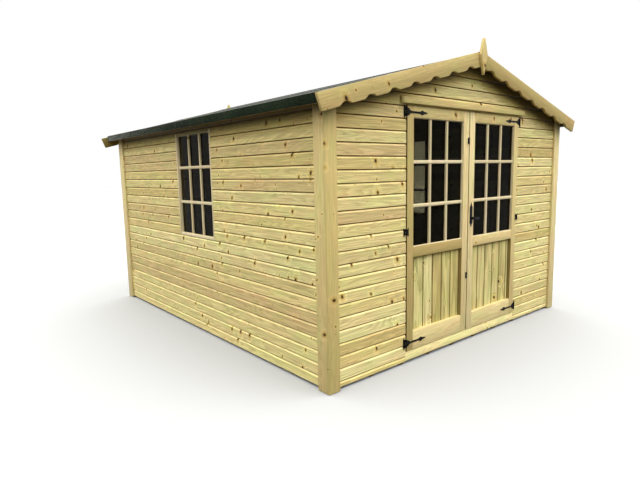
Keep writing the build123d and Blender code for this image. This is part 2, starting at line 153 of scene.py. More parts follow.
# %% [markdown]
# The camera
#
# The picture was taken from eye height, to the left of the doors. Its place, direction and focal
# length were worked out from the corners and board joints of the house, so nothing is shifted.

# %% Camera
EYE = Vector((-3.49385, -4.12363, 1.42913))
YAW = math.radians(39.865)
PITCH = math.radians(-7.816)
ROLL = math.radians(-1.157)
LENS = 27.90
SENSOR = 36

ahead = Vector((math.sin(YAW) * math.cos(PITCH), math.cos(YAW) * math.cos(PITCH), math.sin(PITCH)))
level = Vector((math.cos(YAW), -math.sin(YAW), 0))
above = level.cross(ahead)
right = math.cos(ROLL) * level + math.sin(ROLL) * above
up = math.cos(ROLL) * above - math.sin(ROLL) * level

camera = bpy.data.objects.new("camera", bpy.data.cameras.new("camera"))
bpy.context.collection.objects.link(camera)
camera.data.lens = LENS
camera.data.sensor_width = SENSOR
turn = Matrix((right, up, -ahead)).transposed().to_4x4()
camera.matrix_world = Matrix.Translation(EYE) @ turn
bpy.context.scene.camera = camera
print("Camera", round(LENS, 1), "mm at", [round(value, 2) for value in EYE])

# %% [markdown]
# Light, floor and background
#
# The picture has an overcast sky, which is far brighter overhead than at the horizon, over
# ground that sends little back. So the world's strength follows the height of the sky, a broad sun
# adds a little from the front, and the floor is pale to the eye but dull to the light that bounces.
# The white that the camera sees is only in camera, glossy and transmission rays, so it adds no
# light to the house.

# %% Colour from hex, and one function that adds a node
def rgb(code):
    """An sRGB hex colour as linear red, green, blue and alpha."""
    parts = [int(code[i:i + 2], 16) / 255 for i in (1, 3, 5)]
    return (*[p / 12.92 if p <= 0.04045 else ((p + 0.055) / 1.055) ** 2.4 for p in parts], 1)


def add(tree, kind, inputs=None, stops=None, **settings):
    """Add a node and give back what comes out of it. Settings are its properties, inputs are
    values or what came out of other nodes, and stops are a ramp's places and colours."""
    node = tree.nodes.new(kind)
    for name, value in settings.items():
        setattr(node, name, value)
    for name, value in (inputs or {}).items():
        if isinstance(value, bpy.types.NodeSocket):
            tree.links.new(value, node.inputs[name])
        else:
            node.inputs[name].default_value = value
    if stops:
        ramp = node.color_ramp.elements
        ramp[0].position, ramp[0].color = stops[0][0], rgb(stops[0][1])
        ramp[-1].position, ramp[-1].color = stops[-1][0], rgb(stops[-1][1])
        for position, code in stops[1:-1]:
            ramp.new(position).color = rgb(code)
    return node.outputs


# The kinds of node that come back most
MATH = "ShaderNodeMath"
VECTOR = "ShaderNodeVectorMath"
RANGE = "ShaderNodeMapRange"
RAMP = "ShaderNodeValToRGB"
NOISE = "ShaderNodeTexNoise"
VORONOI = "ShaderNodeTexVoronoi"
MIX = "ShaderNodeMix"

# %% World and sun
ZENITH = 4.3
HORIZON = 0.12
SUN = 0.7
SUN_WIDTH = 50
SUN_FROM = Vector((0.42, -0.56, 0.71))

scene = bpy.context.scene
scene.view_settings.view_transform = "Standard"
scene.world = bpy.data.worlds.new("studio")
scene.world.use_nodes = True
tree = scene.world.node_tree
tree.nodes.clear()
rays = add(tree, "ShaderNodeLightPath")
seen = rays["Is Camera Ray"]
for ray in ("Is Glossy Ray", "Is Transmission Ray"):
    seen = add(tree, MATH, {0: seen, 1: rays[ray]}, operation="MAXIMUM")[0]
sky = add(tree, "ShaderNodeTexCoord")["Generated"]
sky = add(tree, "ShaderNodeSeparateXYZ", {0: sky})["Z"]
sky = add(tree, RANGE, {0: sky, 1: 0, 2: 1, 3: HORIZON, 4: ZENITH})[0]
fill = add(tree, "ShaderNodeBackground", {"Color": rgb("#f6f7fa"), "Strength": sky})[0]
white = add(tree, "ShaderNodeBackground", {"Color": rgb("#ffffff"), "Strength": 1.0})[0]
both = add(tree, "ShaderNodeMixShader", {0: seen, 1: fill, 2: white})[0]
add(tree, "ShaderNodeOutputWorld", {"Surface": both})

sun = bpy.data.objects.new("sun", bpy.data.lights.new("sun", "SUN"))
bpy.context.collection.objects.link(sun)
sun.data.energy = SUN
sun.data.angle = math.radians(SUN_WIDTH)
sun.data.color = rgb("#f6f4ff")[:3]
sun.rotation_euler = SUN_FROM.to_track_quat("Z", "Y").to_euler()
print("Sky from", HORIZON, "to", ZENITH, "and one sun of", SUN)

# %% Floor
FLOOR_SIZE = 90
FLOOR_MIDDLE = (0, 12, 0)

only(camera)
bpy.ops.mesh.primitive_plane_add(size=FLOOR_SIZE, location=FLOOR_MIDDLE)
floor = made("floor")
pale = bpy.data.materials.new("pale studio floor")
pale.use_nodes = True
tree = pale.node_tree
tree.nodes.clear()
bounce = add(tree, "ShaderNodeLightPath")["Is Diffuse Ray"]
bounce = add(tree, MIX, {0: bounce, 6: rgb("#aeaeab"), 7: rgb("#30312c")}, data_type="RGBA")[2]
matt = add(tree, "ShaderNodeBsdfDiffuse", {"Color": bounce})[0]
add(tree, "ShaderNodeOutputMaterial", {"Surface": matt})
floor.data.materials.append(pale)
print("A pale floor at the height that the joists stand on")

# %% [markdown]
# Pressure-treated pine
#
# The house is planed softwood, steeped in a preservative that leaves it yellow with a breath of
# green. Every board has a tone of its own, growth rings drawn out along it and small dark knots in
# a pale swirl. Shade is painted on it too: dark in the laps with a painted highlight on the scoop,
# and darker under the eaves, the bargeboards and the rails. Each face carries a number called
# board. Its fraction is the board's, and shifts the pattern so that no two boards show the same
# piece of tree. Its whole part is 1 on a face with painted shade and 2 on one with deeper painted
# shade, in a joint.

# %% Painted shade by height
COVER = 0.08636
LAP_GAP = 0.006
SCOOP_HEIGHT = 0.011
PITCH_DEGREES = 15
END_JOINT = 1.7820
SIDE_JOINT = 1.7289

# Painted shade in the lap under each board's nose and at the top of the scoop, a painted highlight on the
# scoop, and the face a little darker upwards from its foot
LIP = LAP_GAP / COVER
SCOOP = 1 - SCOOP_HEIGHT / COVER
LAP_SHADE_AND_HIGHLIGHT = [(0.0, "#665333"), (LIP * 0.9, "#665333"), (LIP * 1.3, "#ffffff"), (0.45, "#f6f6f6"),
             (SCOOP - 0.05, "#e4e4e0"), (SCOOP, "#ffffff"), (0.975, "#ffffff"), (1.0, "#a8987a")]

# Painted shade under the eaves, and painted shadow under the bargeboards and under a leaf's middle rail
EAVES_SHADE = [(0.0, "#ffffff"), (0.55, "#cfc8aa"), (1.0, "#827650")]
BARGE_SHADOW = [(0.0, "#ffffff"), (0.5, "#dcd4b8"), (1.0, "#786b42")]
RAIL_SHADOW = [(0.0, "#ffffff"), (0.5, "#d8d2ba"), (1.0, "#7d6c49")]

# Painted shade by the whole part of a face's number: none, on a face turned away from the light, and
# deeper in a joint
SHADE_BY_FACE = [(0.0, "#ffffff"), (0.5, "#a9a584"), (1.0, "#766a4a")]

# The band of a painted shade: its lower and upper height, whether it repeats from there, its colours and
# its slope
end_laps = (END_JOINT - 20 * COVER, END_JOINT - 19 * COVER, True, LAP_SHADE_AND_HIGHLIGHT)
side_laps = (SIDE_JOINT - 20 * COVER, SIDE_JOINT - 19 * COVER, True, LAP_SHADE_AND_HIGHLIGHT)
eaves = (1.68, 1.81, False, EAVES_SHADE)
barges = (2.10, 2.205, False, BARGE_SHADOW, math.tan(math.radians(PITCH_DEGREES)))
below_rail = (0.767, 0.797, False, RAIL_SHADOW)


def paint_shade_by_height(tree, place, low, high, repeated, stops, fall=0.0):
    """Painted shade by height: the ramp runs from low to high, over and over if it is repeated."""
    place = add(tree, "ShaderNodeSeparateXYZ", {0: place})
    out = add(tree, MATH, {0: place["X"]}, operation="ABSOLUTE")[0]
    height = add(tree, MATH, {0: out, 1: fall, 2: place["Z"]}, operation="MULTIPLY_ADD")[0]
    height = add(tree, RANGE, {0: height, 1: low, 2: high, 3: 0, 4: 1}, clamp=not repeated)[0]
    if repeated:
        height = add(tree, MATH, {0: height}, operation="FRACT")[0]
    return add(tree, RAMP, {0: height}, stops=stops)[0]


print("One board covers", COVER * 1000, "mm of wall")

# %% Grain and knots
KNOT_PITCH = 0.14
KNOT_LARGEST = 0.0155
KNOT_HEART = 0.45
KNOT_SWIRL = 4.5
KNOT_BEND = 0.013
KNOT_LEAN = 0.4
KNOTTIEST = 1.25
CLEAREST = 0.4
PIN_PITCH = 0.055
PIN_KNOT = 0.0034
SHUFFLE = 7.31


def grain(tree, log, along, across, detail=2.0, roughness=0.5):
    """A noise with so many waves to the metre along the board, and so many across it."""
    drawn = add(tree, VECTOR, {0: log, 1: (along, across, across)}, operation="MULTIPLY")[0]
    drawn = {"Vector": drawn, "Scale": 1.0, "Detail": detail, "Roughness": roughness}
    return add(tree, NOISE, drawn)["Fac"]


def knotted(tree, log, board, knots):
    """How deep in a knot a point lies, how near to one, and a number that each knot has drawn."""
    wobble = add(tree, NOISE, {"Vector": log, "Scale": 55, "Detail": 2})["Color"]
    bend = (KNOT_BEND, KNOT_BEND, 0)
    bent = add(tree, VECTOR, {0: wobble, 1: bend, 2: log}, operation="MULTIPLY_ADD")[0]

    # One knot at most in each cell of a random net, leaning a little
    leaning = {"Vector": bent, "Rotation": (0, 0, KNOT_LEAN), "Scale": (0.9, 1.3, 1)}
    leaning = add(tree, "ShaderNodeMapping", leaning, vector_type="TEXTURE")[0]
    net = add(tree, VORONOI, {"Vector": leaning, "Scale": 1 / KNOT_PITCH}, voronoi_dimensions="2D")
    draw = add(tree, "ShaderNodeSeparateColor", {0: net["Color"]})

    # Some boards have many knots and some few
    few = add(tree, MATH, {0: board, 1: SHUFFLE}, operation="MULTIPLY")[0]
    few = add(tree, MATH, {0: few}, operation="FRACT")[0]
    few = add(tree, RANGE, {0: few, 1: 0, 2: 1, 3: 1 - CLEAREST * knots, 4: 1 - KNOTTIEST * knots})[0]
    size = add(tree, RANGE, {0: draw[0], 1: few, 2: 1, 3: 0, 4: 1})[0]
    size = add(tree, MATH, {0: size, 1: 1.25}, operation="POWER")[0]
    size = add(tree, MATH, {0: size, 1: KNOT_LARGEST / KNOT_PITCH}, operation="MULTIPLY")[0]
    inner = add(tree, MATH, {0: size, 1: KNOT_HEART}, operation="MULTIPLY")[0]
    outer = add(tree, MATH, {0: size, 1: KNOT_SWIRL}, operation="MULTIPLY")[0]
    core = add(tree, RANGE, {0: net["Distance"], 1: size, 2: inner, 3: 0, 4: 1})[0]
    halo = add(tree, RANGE, {0: net["Distance"], 1: outer, 2: inner, 3: 0, 4: 1})[0]

    # Pin knots lie in a closer net of their own
    pins = add(tree, VORONOI, {"Vector": bent, "Scale": 1 / PIN_PITCH}, voronoi_dimensions="2D")
    kept = add(tree, "ShaderNodeSeparateColor", {0: pins["Color"]})[0]
    kept = add(tree, RANGE, {0: kept, 1: 1 - knots / 2, 2: 1, 3: 0, 4: PIN_KNOT / PIN_PITCH})[0]
    pins = add(tree, MATH, {0: pins["Distance"], 1: kept}, operation="LESS_THAN")[0]
    pins = add(tree, MATH, {0: pins, 1: 0.75}, operation="MULTIPLY")[0]
    core = add(tree, MATH, {0: core, 1: pins}, operation="MAXIMUM")[0]
    return core, halo, draw[1]


print("Knots up to", KNOT_LARGEST * 2000, "mm across")

# %% Pine
RING_HEIGHT = 0.013
RING_RANGE = 0.26
BOARD_SHIFT = (37.0, 19.0, 11.0)
LATE = "#a88a4c"

# Blotches lean to green or to pink. The wood round a knot darkens and then pales. Knots run from
# the brown of a live one to the near black of a dead one.
CAST = [(0.30, "#f0f4da"), (0.50, "#f6f1e0"), (0.68, "#faeee0")]
PALE_RING = [(0.0, "#f2f2f2"), (0.45, "#ffffff"), (0.8, "#eee4ca"), (0.93, "#c8b080"), (1.0, "#9a7f4c")]
HEART = [(0.0, "#5c4223"), (0.3, "#372513"), (1.0, "#150e07")]


def finish_of(name):
    """A new material, its empty tree and the place of a point on the object."""
    material = bpy.data.materials.new(name)
    material.use_nodes = True
    tree = material.node_tree
    tree.nodes.clear()
    return material, tree, add(tree, "ShaderNodeTexCoord")["Object"]


def surfaced(material, look, height=None, strength=0.5, reach=0.001):
    """Give a material its surface, and a bump as deep as reach where it has a height."""
    tree = material.node_tree
    if height is not None:
        bump = {"Height": height, "Strength": strength, "Distance": reach}
        look["Normal"] = add(tree, "ShaderNodeBump", bump)[0]
    surface = add(tree, "ShaderNodeBsdfPrincipled", look)[0]
    add(tree, "ShaderNodeOutputMaterial", {"Surface": surface})
    return material


def pine(name, along, across, tones, late=LATE, ring=0.3, knots=0.6, tilt=0, saw=0.0,
         ring_height=RING_HEIGHT, streaks=110.0, figure=0.24, shade_bands=()):
    """Planed or sawn pine whose grain runs along one axis, seen across another."""
    material, tree, place = finish_of(name)
    tipped = {"Vector": place, "Rotation": (0, math.radians(tilt), 0)}
    tipped = add(tree, "ShaderNodeMapping", tipped)[0] if tilt else place
    axes = add(tree, "ShaderNodeSeparateXYZ", {0: tipped})
    depth = "XYZ".replace(along, "").replace(across, "")
    grainwise = add(tree, "ShaderNodeCombineXYZ", {0: axes[along], 1: axes[across], 2: axes[depth]})[0]
    mark = add(tree, "ShaderNodeAttribute", attribute_name="board")["Fac"]
    board = add(tree, MATH, {0: mark}, operation="FRACT")[0]
    shade_depth = add(tree, MATH, {0: mark}, operation="FLOOR")[0]
    log = add(tree, VECTOR, {0: board, 1: BOARD_SHIFT, 2: grainwise}, operation="MULTIPLY_ADD")[0]
    core, halo, age = knotted(tree, log, board, knots)

    # Rings are the contour lines of a stretched noise, so they close into cathedrals and bend round
    # the knots. They are drawn a little coarser than life so that they show.
    swirl = add(tree, MATH, {0: halo, 1: 1.6}, operation="MULTIPLY")[0]
    rings = {0: grain(tree, log, 0.9, 9.0, 1.5, 0.45), 1: RING_RANGE / ring_height, 2: swirl}
    rings = add(tree, MATH, rings, operation="MULTIPLY_ADD")[0]
    rings = add(tree, MATH, {0: rings}, operation="FRACT")[0]
    rings = {0: rings, 1: 0.25, 2: 0.95, 3: 0, 4: ring}
    rings = add(tree, RANGE, rings, interpolation_type="SMOOTHSTEP")[0]
    fibre = grain(tree, log, 9.0, 330.0)

    # Painted shade on the face: each band by height, then the shade of faces turned away or in a joint
    shaded_colour = rgb("#ffffff")
    for one_band in shade_bands:
        shaded_colour = {0: 1.0, 6: shaded_colour, 7: paint_shade_by_height(tree, place, *one_band)}
        shaded_colour = add(tree, MIX, shaded_colour, data_type="RGBA", blend_type="MULTIPLY")[2]
    face_shade = add(tree, MATH, {0: shade_depth, 1: 0.5}, operation="MULTIPLY")[0]
    face_shade = add(tree, RAMP, {0: face_shade}, stops=SHADE_BY_FACE)[0]
    shaded_colour = add(tree, MIX, {0: shade_depth, 6: shaded_colour, 7: face_shade}, data_type="RGBA")[2]

    # Colour: the board's own tone, darker late wood, fibres, the painted shade, tan round a knot and brown
    # in it
    tone = add(tree, RAMP, {0: board}, stops=tones)[0]
    cast = add(tree, RAMP, {0: grain(tree, log, 4.0, 11.0)}, stops=CAST)[0]
    streak = grain(tree, log, 4.5, streaks, 3.0)
    streak = add(tree, RANGE, {0: streak, 1: 0.3, 2: 0.7, 3: 1.25 - figure, 4: 1.25 + figure})[0]
    shade = add(tree, RANGE, {0: fibre, 1: 0.25, 2: 0.75, 3: 0.90, 4: 1.10})[0]
    shade = add(tree, MATH, {0: streak, 1: shade}, operation="MULTIPLY")[0]
    pale = add(tree, RAMP, {0: halo}, stops=PALE_RING)[0]
    wood = add(tree, MIX, {0: rings, 6: tone, 7: rgb(late)}, data_type="RGBA")[2]
    for tint in (cast, shade, shaded_colour, pale):
        wood = add(tree, VECTOR, {0: wood, 1: tint}, operation="MULTIPLY")[0]
    heart = add(tree, RAMP, {0: age}, stops=HEART)[0]
    wood = add(tree, MIX, {0: core, 6: wood, 7: heart}, data_type="RGBA")[2]

    # Touch: soft early wood lies lower than the late wood, and a saw leaves marks across
    rough = add(tree, RANGE, {0: fibre, 1: 0.2, 2: 0.8, 3: 0.58, 4: 0.78})[0]
    height = add(tree, MATH, {0: rings, 1: 1.2, 2: fibre}, operation="MULTIPLY_ADD")[0]
    if saw:
        height = {0: grain(tree, log, 260.0, 14.0), 1: saw, 2: height}
        height = add(tree, MATH, height, operation="MULTIPLY_ADD")[0]
    look = {"Base Color": wood, "Roughness": rough, "IOR": 1.45, "Specular IOR Level": 0.3}
    return surfaced(material, look, height, 0.6, 0.0006)

# %% Finishes of pine
# How each cut of timber was sorted: the cladding varies most, the joinery is of the palest sticks
CLADDING = [(0.0, "#d2c083"), (0.15, "#e6d596"), (0.35, "#f2e7ab"), (0.55, "#e8d698"), (0.75, "#f5ecb3"),
            (0.9, "#e0d098"), (1.0, "#dfc895")]
TRIM = [(0.0, "#b09d68"), (0.14, "#b7a670"), (0.3, "#cab97f"), (0.7, "#d6c592"), (1.0, "#dfcfa2")]
BARGE = [(0.0, "#ab9967"), (0.3, "#c1af78"), (1.0, "#cab97f")]
BARS = [(0.0, "#d3c5a4"), (0.5, "#dbd0b3"), (1.0, "#cbbc99")]
PANEL = [(0.0, "#c9bb80"), (0.2, "#d8cf9a"), (0.4, "#cbc68a"), (0.6, "#d6ca94"), (0.8, "#c3b176"),
         (1.0, "#d2c88f")]
SAWN = [(0.0, "#a08859"), (0.5, "#aa9363"), (1.0, "#977f52")]
# SHADED is a painted shade: the roof boards, the battens at the roof's edges and the joists take these
# dark tones so that the soffit and the space under the floor look dark
SHADED = [(0.0, "#6f5c3a"), (0.5, "#796641"), (1.0, "#634f33")]
PANEL_LATE = "#8f8244"
SHADED_LATE = "#4f3f25"
TILT = PITCH_DEGREES
wood = {
    "shiplap_x": pine("treated shiplap, lying across", "X", "Z", CLADDING, knots=0.62,
                      shade_bands=(end_laps, barges)),
    "shiplap_y": pine("treated shiplap, lying along", "Y", "Z", CLADDING, knots=0.8,
                      shade_bands=(side_laps, eaves)),
    "trim_x": pine("planed trim, lying across", "X", "Z", TRIM, ring=0.2, knots=0.3, figure=0.14),
    "sill": pine("planed sill", "X", "Z", CLADDING, ring=0.2, knots=0.15, figure=0.16),
    "trim_z": pine("planed trim, upright, end wall", "Z", "X", TRIM, ring=0.2, knots=0.4, figure=0.12),
    "side_z": pine("planed trim, upright, side wall", "Z", "Y", TRIM, ring=0.2, knots=0.6, figure=0.12),
    "joinery_z": pine("planed door joinery, upright", "Z", "X", TRIM, ring=0.2, knots=0.15, figure=0.16),
    "barge_left": pine("fretted bargeboard, left", "X", "Z", BARGE, ring=0.2, knots=0.8, tilt=TILT,
                       figure=0.14),
    "barge_right": pine("fretted bargeboard, right", "X", "Z", TRIM, ring=0.2, knots=0.8, tilt=-TILT,
                        figure=0.14),
    "bar_z": pine("glazing bar, upright, end wall", "Z", "X", BARS, ring=0.15, knots=0, figure=0.12),
    "side_bar_z": pine("window joinery, upright, side wall", "Z", "Y", BARS, ring=0.15, knots=0.1,
                       figure=0.12),
    "side_bar_y": pine("window joinery, lying along", "Y", "Z", BARS, ring=0.15, knots=0.1, figure=0.12),
    "panel": pine("greenish panel boards", "Z", "X", PANEL, PANEL_LATE, ring=0.5, knots=0.3,
                  ring_height=0.05, streaks=45.0, shade_bands=(below_rail,)),
    "sawn_x": pine("sawn framing, across", "X", "Z", SAWN, saw=1.5),
    "sawn_y": pine("sawn framing, along", "Y", "Z", SAWN, saw=1.5),
    "sawn_z": pine("sawn framing, upright", "Z", "X", SAWN, saw=1.5),
    "floor_x": pine("planed floor boards", "X", "Y", SAWN, knots=0.5),
    "roof_left": pine("roof boards in painted shade, left slope", "X", "Y", SHADED, SHADED_LATE, tilt=TILT, saw=1.0),
    "roof_right": pine("roof boards in painted shade, right slope", "X", "Y", SHADED, SHADED_LATE, tilt=-TILT,
                       saw=1.0),
    "roof_y": pine("batten in painted shade, along", "Y", "X", SHADED, SHADED_LATE, saw=1.5),
}
print(len(wood), "finishes of pine")

# %% [markdown]
# Felt, glass, iron and nails
#
# Mineral felt is bitumen with crushed slate rolled into it: dull, dark green, with pale specks, and
# paler when seen along its face. The panes are clear float glass, which is smooth and shows by what
# it mirrors. Its grey tint is a painted shade that dims the inside seen through it. The hinges and
# lock are iron in a thick black paint, uneven and nearly dull. The nails are dipped in zinc.

# %% Felt
# Slate grains are a millimetre across and are drawn at four, to show
GRIT = 0.004

felt, tree, place = finish_of("green mineral felt")
grains = add(tree, VORONOI, {"Vector": place, "Scale": 1 / GRIT})
draw = add(tree, "ShaderNodeSeparateColor", {0: grains["Color"]})[0]
stops = [(0.0, "#10170d"), (0.6, "#1a2314"), (0.93, "#263120"), (1.0, "#3a4632")]
colour = add(tree, RAMP, {0: draw}, stops=stops)[0]
cloud = add(tree, NOISE, {"Vector": place, "Scale": 2.2, "Detail": 5})["Fac"]
cloud = add(tree, RANGE, {0: cloud, 1: 0.3, 2: 0.7, 3: 0.72, 4: 1.32})[0]
colour = add(tree, VECTOR, {0: colour, 1: cloud}, operation="MULTIPLY")[0]
look = {"Base Color": colour, "Roughness": 0.92, "Specular IOR Level": 0.08,
        "Sheen Weight": 1.0, "Sheen Roughness": 0.14, "Sheen Tint": rgb("#e8e6da")}
surfaced(felt, look, draw, 0.7)
print("Felt with grains of", GRIT * 1000, "mm")

# %% Glass, iron and zinc
# The glass has the faint wave of a cheap pane
glass, tree, place = finish_of("clear float glass")
wave = add(tree, NOISE, {"Vector": place, "Scale": 6, "Detail": 0})["Fac"]
# The grey base colour is a painted shade: it dims the inside seen through the panes
look = {"Base Color": rgb("#928f7e"), "Roughness": 0.0, "IOR": 1.07, "Transmission Weight": 1.0,
        "Specular IOR Level": 0.1}
surfaced(glass, look, wave, 0.15)

# The iron is cast or pressed, and pitted under its paint
iron, tree, place = finish_of("black japanned iron")
pits = add(tree, NOISE, {"Vector": place, "Scale": 160, "Detail": 3})["Fac"]
stops = [(0.3, "#040404"), (0.7, "#0d0c0b")]
colour = add(tree, RAMP, {0: pits}, stops=stops)[0]
rough = add(tree, RANGE, {0: pits, 1: 0.3, 2: 0.7, 3: 0.35, 4: 0.55})[0]
look = {"Base Color": colour, "Roughness": rough, "Specular IOR Level": 0.1}
surfaced(iron, look, pits, 0.5, 0.0008)

# The zinc on the nails is grey and a little blotchy
zinc, tree, place = finish_of("galvanised nail")
spangle = add(tree, VORONOI, {"Vector": place, "Scale": 700})["Distance"]
stops = [(0.0, "#7d8082"), (1.0, "#a9acad")]
colour = add(tree, RAMP, {0: spangle}, stops=stops)[0]
surfaced(zinc, {"Base Color": colour, "Metallic": 1.0, "Roughness": 0.5})
print("Glass, iron and zinc are ready")

# %% [markdown]
# Handing a piece over
#
# A finished piece rides on a body of the frame, takes its finish and stands for the plain nodes that
# it covers. Every board also gets its number here.

# %% Helpers for finished pieces
def stamp(board, number):
    """Write one number on every face of a board."""
    mark = board.data.attributes.get("board") or board.data.attributes.new("board", "FLOAT", "FACE")
    mark.data.foreach_set("value", [number] * len(board.data.polygons))


def number_boards(piece, numbers=()):
    """Give each loose board of a piece its own number between 0 and 1, from left to right."""
    with editing(piece):
        bpy.ops.mesh.separate(type="LOOSE")
    boards = sorted(bpy.context.selected_objects, key=lambda board: tuple(board.bound_box[0]))
    for place, board in enumerate(boards):
        drawn = chance.random()
        stamp(board, numbers[place] if place < len(numbers) else drawn)
    return join(piece.name, boards)


def paint_shade_on_faces(piece, test, depth=1):
    """Paint shade on the faces that pass the test: the whole part of their number becomes 1, or 2 for
    deeper shade in a joint.
    """
    numbers = piece.data.attributes["board"].data
    for side in piece.data.polygons:
        if test(side.normal, side.center):
            numbers[side.index].value = numbers[side.index].value % 1 + depth


def hand_over(piece, body, slot, material, *nodes):
    """Finish, body and the nodes that the piece stands for. The slot is not used."""
    piece.data.materials.clear()
    piece.data.materials.append(material)
    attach(piece, body)
    if nodes:
        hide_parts(*nodes)


def smooth(piece, degrees=35):
    """Shade smooth across edges that turn by less than the angle."""
    only(piece)
    bpy.ops.object.shade_smooth_by_angle(angle=math.radians(degrees))


def finished_with(piece, kind, **settings):
    """Add a modifier, set it and apply it."""
    only(piece)
    modifier = piece.modifiers.new(kind.lower(), kind)
    for name, value in settings.items():
        setattr(modifier, name, value)
    bpy.ops.object.modifier_apply(modifier=modifier.name)


def dressed(node, how, arris=0.0015):
    """A copy of a frame node: doubles merged, triangles dissolved into faces, edges eased."""
    piece = twin(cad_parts[node], f"{how}_{node}")
    with editing(piece):
        bpy.ops.mesh.remove_doubles(threshold=0.00001)
        bpy.ops.mesh.dissolve_limited(angle_limit=math.radians(0.5))
    finished_with(piece, "BEVEL", width=arris, segments=2, limit_method="ANGLE",
                  angle_limit=math.radians(30))
    smooth(piece)
    return piece

# %% [markdown]
# One shiplap board
#
# Shiplap is a flat board with a scooped shoulder along its top edge. The rounded lower edge of the
# board above laps over the scoop, which leaves a dark line with a bright band under it. The board
# starts as a cube stretched in depth, because an edge bevel is as deep as it is high: bevelled
# while stretched and then pressed back, the scoop comes out 11 mm high and 7.5 mm deep.

# %% Shiplap
SCOOP_DEPTH = 0.0075
NOSE = 0.002
wall_low, wall_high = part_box("front_wall_left")
BOARD = wall_high.y - wall_low.y

stretch = SCOOP_HEIGHT / SCOOP_DEPTH
shiplap = block("shiplap", (0, 0, 0), (1, BOARD * stretch, COVER))
with editing(shiplap):
    bevel_at(lambda at: at.y < NEAR and at.z > COVER - NEAR, SCOOP_HEIGHT, segments=4, profile=0.2)
    bevel_at(lambda at: at.y < NEAR and at.z < NEAR, NOSE, segments=2)
    bpy.ops.mesh.select_all(action="SELECT")
    bpy.ops.transform.resize(value=(1, 1 / stretch, 1), center_override=(0, 0, 0))
    bpy.ops.mesh.bisect(plane_co=(0, SCOOP_DEPTH, 0), plane_no=(0, 1, 0))
    pick("VERT", lambda at: at.y < SCOOP_DEPTH - NEAR and at.z < NOSE + NEAR)
    bpy.ops.transform.translate(value=(0, 0, LAP_GAP))
print("One board has", len(shiplap.data.polygons), "faces")

# %% [markdown]
# Cladding the walls
#
# The joints of the real house were measured: each board covers 86 mm, and the side walls start a
# little lower than the end walls. Every wall is laid flat in its own frame, seen from outside, and
# then turned into place. A board that meets the slope of the roof, the head of the doorway or the
# edge of a window is cut there, as on site, by a bisect that is filled again.

# %% Laying boards
SLIVER = 0.002

# No two boards are planed or nailed quite alike
THINNER = 0.0008
UNEVEN = 0.0006


def cut(piece, point, normal):
    """Saw a board with a plane and drop what lies on the side of the normal."""
    with editing(piece):
        bpy.ops.mesh.bisect(plane_co=point, plane_no=normal, use_fill=True, clear_outer=True)


def lay(boards, x0, x1, bottom, face, low, high, rakes=()):
    """One board from x0 to x1, cut to the heights low and high and to the slopes it meets."""
    if x1 - x0 < SLIVER or min(bottom + COVER, high) - max(bottom, low) < SLIVER:
        return
    back = chance.uniform(0, THINNER)
    drop = chance.uniform(-UNEVEN, UNEVEN)
    size = (x1 - x0, (BOARD - back) / BOARD, 1)
    board = twin(shiplap, "board", (x0, face + back, bottom + drop), size)
    if bottom < low:
        cut(board, (0, 0, low), (0, 0, -1))
    if bottom + COVER > high:
        cut(board, (0, 0, high), (0, 0, 1))
    for point, normal in rakes:
        if any((corner.co - point).dot(normal) > 0 for corner in board.data.vertices):
            cut(board, point, normal)
    if not board.data.polygons:
        bpy.data.objects.remove(board)
        return
    stamp(board, chance.random())
    boards.append(board)


def rows(joint, low, high):
    """The lower edges of the boards that fill a wall from low to high, with one edge at the joint."""
    bottom = joint - math.ceil((joint - low) / COVER) * COVER
    while bottom < high:
        yield bottom
        bottom += COVER


def turned(boards, name, degrees):
    """The boards as one wall, turned from its own frame into place."""
    wall = join(name, boards)
    # Painted shade on every face turned to the inside of the house
    paint_shade_on_faces(wall, lambda normal, at: normal.y > 0.9)
    wall.rotation_euler.z = math.radians(degrees)
    settle(wall)
    smooth(wall, 30)
    return wall

# %% End walls
gable_low, gable_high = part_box("front_gable")
apex = gable_high.z
foot = wall_low.z
door_half = -wall_high.x
head = gable_low.z
wall_half = -gable_low.x
face = wall_low.y
fall = (apex - head) / wall_half
rakes = [(Vector((0, 0, apex)), Vector((side * fall, 0, 1)).normalized()) for side in (-1, 1)]

boards = []
for bottom in rows(END_JOINT, foot, apex):
    lay(boards, -wall_half, -door_half, bottom, face, foot, apex, rakes)
    lay(boards, door_half, wall_half, bottom, face, foot, apex, rakes)
    lay(boards, -door_half, door_half, bottom, face, head, apex, rakes)
front = turned(boards, "front_cladding", 0)
hand_over(front, "house", "pine_cladding", wood["shiplap_x"],
          "front_wall_left", "front_wall_right", "front_gable")
print(len(boards), "boards on the front")

boards = []
for bottom in rows(END_JOINT, foot, apex):
    lay(boards, -wall_half, wall_half, bottom, face, foot, apex, rakes)
back = turned(boards, "back_cladding", 180)
hand_over(back, "house", "pine_cladding", wood["shiplap_x"], "back_wall")
print(len(boards), "boards on the back")

# %% Side walls
side_low, side_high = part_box("left_wall")
side_face = side_low.x
side_half = side_high.y
side_top = side_high.z
eaves_cut = [(Vector((0, side_face, head)), Vector((0, -fall, 1)).normalized())]


def one_side(node, sign):
    """The lowest and highest corner of the part of a node that lies on one side."""
    corners = [corner.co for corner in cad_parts[node].data.vertices if corner.co.x * sign > 0]
    return [Vector([limit(axis) for axis in zip(*corners)]) for limit in (min, max)]


for side, sign in SIDES:
    low, high = one_side("window_jambs", sign)
    near, far = sorted((sign * low.y, sign * high.y))
    boards = []
    for bottom in rows(SIDE_JOINT, foot, side_top):
        spans = [(-side_half, side_half, foot, side_top)]
        if bottom < high.z and bottom + COVER > low.z:
            spans = [(-side_half, near, foot, side_top), (far, side_half, foot, side_top),
                     (near, far, foot, low.z), (near, far, high.z, side_top)]
        for start, end, lowest, highest in spans:
            lay(boards, start, end, bottom, side_face, lowest, highest, eaves_cut)
    wall = turned(boards, f"{side}_cladding", 90 * sign)
    hand_over(wall, "house", "pine_cladding", wood["shiplap_y"], f"{side}_wall")
print("Side walls run from", round(foot, 3), "to", round(side_top, 3))
